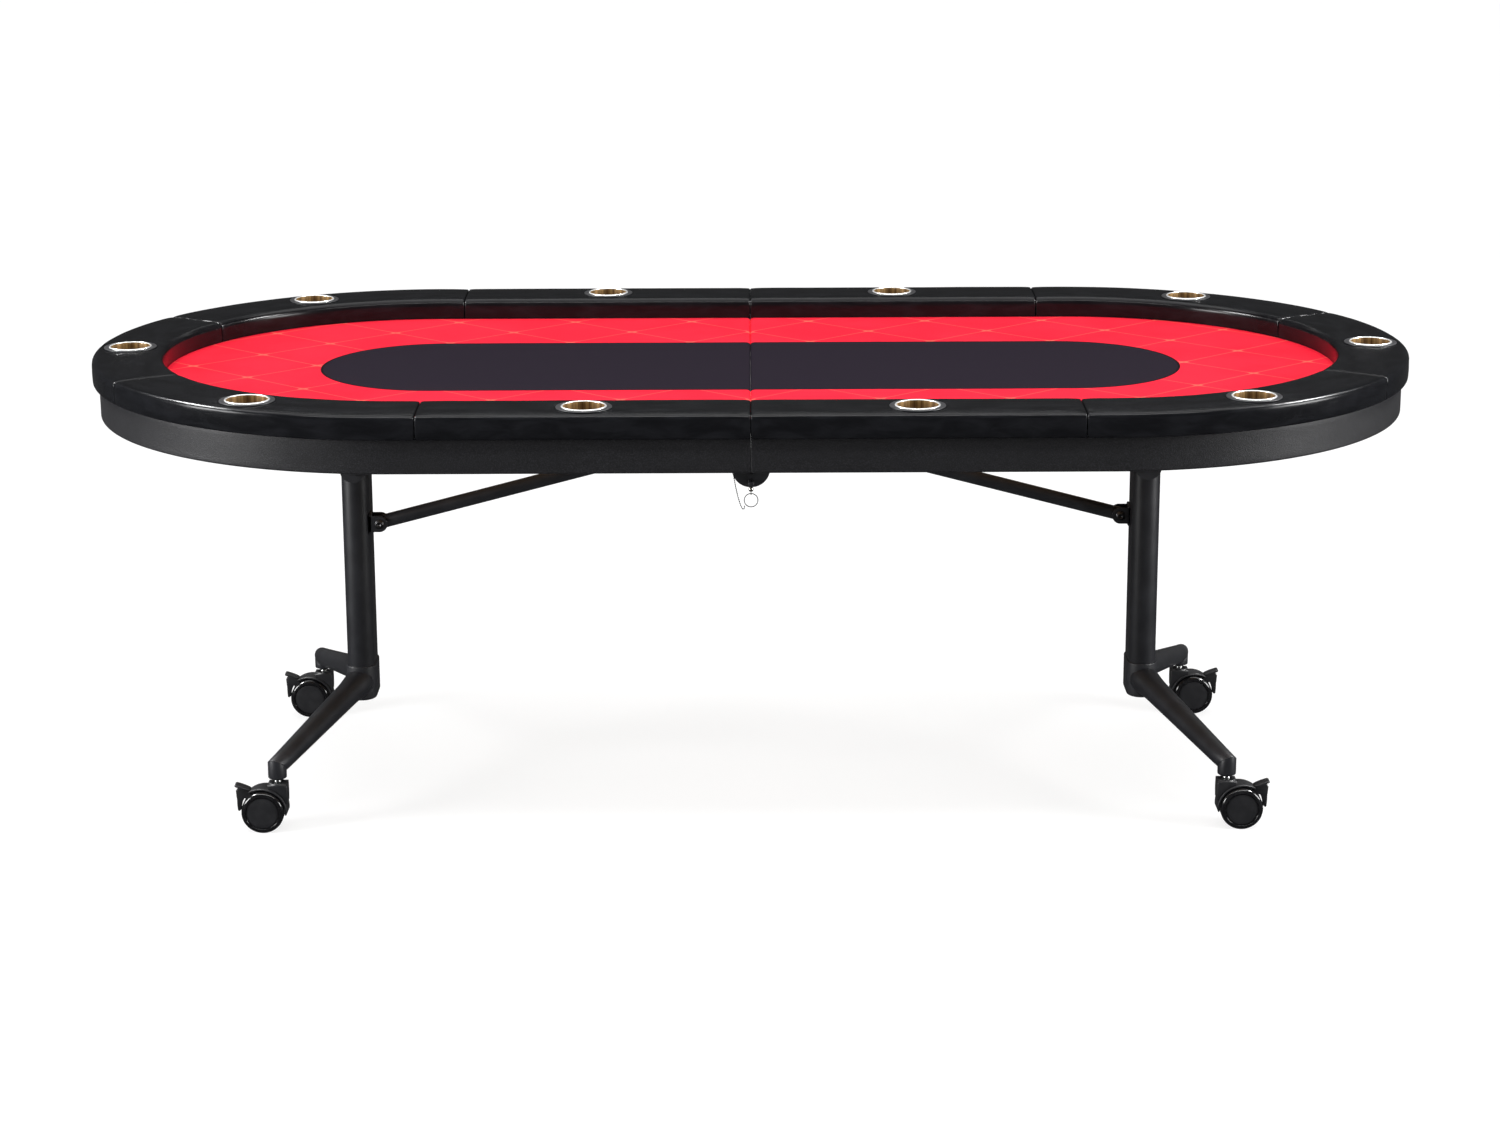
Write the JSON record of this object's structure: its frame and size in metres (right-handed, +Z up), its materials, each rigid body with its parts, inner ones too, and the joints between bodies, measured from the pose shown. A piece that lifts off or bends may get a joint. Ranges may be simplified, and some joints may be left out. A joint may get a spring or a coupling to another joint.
{
  "type": "folding poker table",
  "caption": "Oval racetrack poker table in two hinged halves with a padded rail and drop-in cup holders, on two column legs with splayed feet and braked twin-wheel castors.",
  "frame": {"origin": "on the floor, below the centre of the table's plan", "axes": "+X along the table's length, +Y towards the side away from the lock pin, +Z up"},
  "size_m": [2.3598, 1.16, 0.8035],
  "materials": {
    "rail_vinyl": "glossy padded vinyl",
    "apron_vinyl": "satin pebbled vinyl",
    "plywood": "matte",
    "felt": "matte speed cloth with printed lattice and racetrack",
    "cup_metal": "polished",
    "black_steel": "satin powder coat",
    "bolt_steel": "satin",
    "zinc": "bright zinc",
    "nickel": "polished",
    "nickel_wire": "polished",
    "wheel_plastic": "glossy rim, satin face",
    "castor_plastic": "satin"
  },
  "bodies": {
    "left_leg": {"post_left": "black_steel", "base_socket_left": "black_steel", "feet_left": "black_steel", "castor_stems_left": "zinc", "brace_clevis_left": "black_steel"},
    "left_top": {"apron_left": "apron_vinyl", "deck_left": "plywood", "playfield_left": "felt", "rail_left_front": "rail_vinyl", "rail_left_front_corner": "rail_vinyl", "rail_left_end": "rail_vinyl", "rail_left_rear_corner": "rail_vinyl", "rail_left_rear": "rail_vinyl", "cup_holders_left": "cup_metal", "frame_left": "black_steel", "post_bracket_left": "black_steel", "hinge_plates_left": "black_steel", "brace_guide_left": "black_steel", "hinge_bolts": "bolt_steel", "bead_chain": "nickel_wire"},
    "right_top": {"apron_right": "apron_vinyl", "deck_right": "plywood", "playfield_right": "felt", "rail_right_front": "rail_vinyl", "rail_right_front_corner": "rail_vinyl", "rail_right_end": "rail_vinyl", "rail_right_rear_corner": "rail_vinyl", "rail_right_rear": "rail_vinyl", "cup_holders_right": "cup_metal", "frame_right": "black_steel", "post_bracket_right": "black_steel", "hinge_plates_right": "black_steel", "brace_guide_right": "black_steel"},
    "right_leg": {"post_right": "black_steel", "base_socket_right": "black_steel", "feet_right": "black_steel", "castor_stems_right": "zinc", "brace_clevis_right": "black_steel"},
    "left_brace": {"brace_left": "black_steel"},
    "right_brace": {"brace_right": "black_steel"},
    "lock_pin": {"lock_pin": "nickel", "pull_ring": "nickel_wire"},
    "castor_lf": {"castor_lf_housing": "castor_plastic"},
    "castor_lf_wheel_a": {"castor_lf_wheel_a": "wheel_plastic"},
    "castor_lf_wheel_b": {"castor_lf_wheel_b": "wheel_plastic"},
    "castor_lf_lever": {"castor_lf_lever": "castor_plastic"},
    "castor_lr": {"castor_lr_housing": "castor_plastic"},
    "castor_lr_wheel_a": {"castor_lr_wheel_a": "wheel_plastic"},
    "castor_lr_wheel_b": {"castor_lr_wheel_b": "wheel_plastic"},
    "castor_lr_lever": {"castor_lr_lever": "castor_plastic"},
    "castor_rf": {"castor_rf_housing": "castor_plastic"},
    "castor_rf_wheel_a": {"castor_rf_wheel_a": "wheel_plastic"},
    "castor_rf_wheel_b": {"castor_rf_wheel_b": "wheel_plastic"},
    "castor_rf_lever": {"castor_rf_lever": "castor_plastic"},
    "castor_rr": {"castor_rr_housing": "castor_plastic"},
    "castor_rr_wheel_a": {"castor_rr_wheel_a": "wheel_plastic"},
    "castor_rr_wheel_b": {"castor_rr_wheel_b": "wheel_plastic"},
    "castor_rr_lever": {"castor_rr_lever": "castor_plastic"}
  },
  "joints": [
    {"name": "left_post_pivot", "type": "hinge", "parent": "left_leg", "child": "left_top", "pos_m": [-0.7195, 0, 0.585], "axis": [0, -1, 0], "range_deg": [0, 75]},
    {"name": "table_fold", "type": "hinge", "parent": "left_top", "child": "right_top", "pos_m": [0, 0, 0.699], "axis": [0, 1, 0], "range_deg": [0, 150]},
    {"name": "right_post_pivot", "type": "hinge", "parent": "right_top", "child": "right_leg", "pos_m": [0.7195, 0, 0.585], "axis": [0, -1, 0], "range_deg": [0, 75]},
    {"name": "left_brace_swing", "type": "hinge", "parent": "left_leg", "child": "left_brace", "pos_m": [-0.677, -0.02, 0.479], "axis": [0, -1, 0], "range_deg": [0, 73]},
    {"name": "right_brace_swing", "type": "hinge", "parent": "right_leg", "child": "right_brace", "pos_m": [0.677, 0.02, 0.479], "axis": [0, 1, 0], "range_deg": [0, 73]},
    {"name": "lock_pin_pull", "type": "slide", "parent": "left_top", "child": "lock_pin", "axis": [0, -1, 0], "range_m": [-0.008, 0]},
    {"name": "castor_lf_swivel", "type": "hinge", "parent": "left_leg", "child": "castor_lf", "pos_m": [-0.837, -0.338, 0.08], "axis": [0, 0, 1], "continuous": true},
    {"name": "castor_lf_roll_a", "type": "hinge", "parent": "castor_lf", "child": "castor_lf_wheel_a", "pos_m": [-0.863, -0.338, 0.0375], "axis": [0, 1, 0], "continuous": true},
    {"name": "castor_lf_roll_b", "type": "hinge", "parent": "castor_lf", "child": "castor_lf_wheel_b", "pos_m": [-0.863, -0.338, 0.0375], "axis": [0, 1, 0], "continuous": true},
    {"name": "castor_lf_brake", "type": "hinge", "parent": "castor_lf", "child": "castor_lf_lever", "pos_m": [-0.89, -0.338, 0.0645], "axis": [0, -1, 0], "range_deg": [0, 12]},
    {"name": "castor_lr_swivel", "type": "hinge", "parent": "left_leg", "child": "castor_lr", "pos_m": [-0.837, 0.338, 0.08], "axis": [0, 0, 1], "continuous": true},
    {"name": "castor_lr_roll_a", "type": "hinge", "parent": "castor_lr", "child": "castor_lr_wheel_a", "pos_m": [-0.863, 0.338, 0.0375], "axis": [0, 1, 0], "continuous": true},
    {"name": "castor_lr_roll_b", "type": "hinge", "parent": "castor_lr", "child": "castor_lr_wheel_b", "pos_m": [-0.863, 0.338, 0.0375], "axis": [0, 1, 0], "continuous": true},
    {"name": "castor_lr_brake", "type": "hinge", "parent": "castor_lr", "child": "castor_lr_lever", "pos_m": [-0.89, 0.338, 0.0645], "axis": [0, -1, 0], "range_deg": [0, 12]},
    {"name": "castor_rf_swivel", "type": "hinge", "parent": "right_leg", "child": "castor_rf", "pos_m": [0.837, -0.338, 0.08], "axis": [0, 0, 1], "continuous": true},
    {"name": "castor_rf_roll_a", "type": "hinge", "parent": "castor_rf", "child": "castor_rf_wheel_a", "pos_m": [0.863, -0.338, 0.0375], "axis": [0, 1, 0], "continuous": true},
    {"name": "castor_rf_roll_b", "type": "hinge", "parent": "castor_rf", "child": "castor_rf_wheel_b", "pos_m": [0.863, -0.338, 0.0375], "axis": [0, 1, 0], "continuous": true},
    {"name": "castor_rf_brake", "type": "hinge", "parent": "castor_rf", "child": "castor_rf_lever", "pos_m": [0.89, -0.338, 0.0645], "axis": [0, 1, 0], "range_deg": [0, 12]},
    {"name": "castor_rr_swivel", "type": "hinge", "parent": "right_leg", "child": "castor_rr", "pos_m": [0.837, 0.338, 0.08], "axis": [0, 0, 1], "continuous": true},
    {"name": "castor_rr_roll_a", "type": "hinge", "parent": "castor_rr", "child": "castor_rr_wheel_a", "pos_m": [0.863, 0.338, 0.0375], "axis": [0, 1, 0], "continuous": true},
    {"name": "castor_rr_roll_b", "type": "hinge", "parent": "castor_rr", "child": "castor_rr_wheel_b", "pos_m": [0.863, 0.338, 0.0375], "axis": [0, 1, 0], "continuous": true},
    {"name": "castor_rr_brake", "type": "hinge", "parent": "castor_rr", "child": "castor_rr_lever", "pos_m": [0.89, 0.338, 0.0645], "axis": [0, 1, 0], "range_deg": [0, 12]}
  ],
  "couplings": [
    {"joint": "left_post_pivot", "follows": "table_fold", "ratio": 0.5},
    {"joint": "right_post_pivot", "follows": "table_fold", "ratio": 0.5},
    {"joint": "left_brace_swing", "follows": "table_fold", "ratio": 0.48665},
    {"joint": "right_brace_swing", "follows": "table_fold", "ratio": 0.48665}
  ]
}
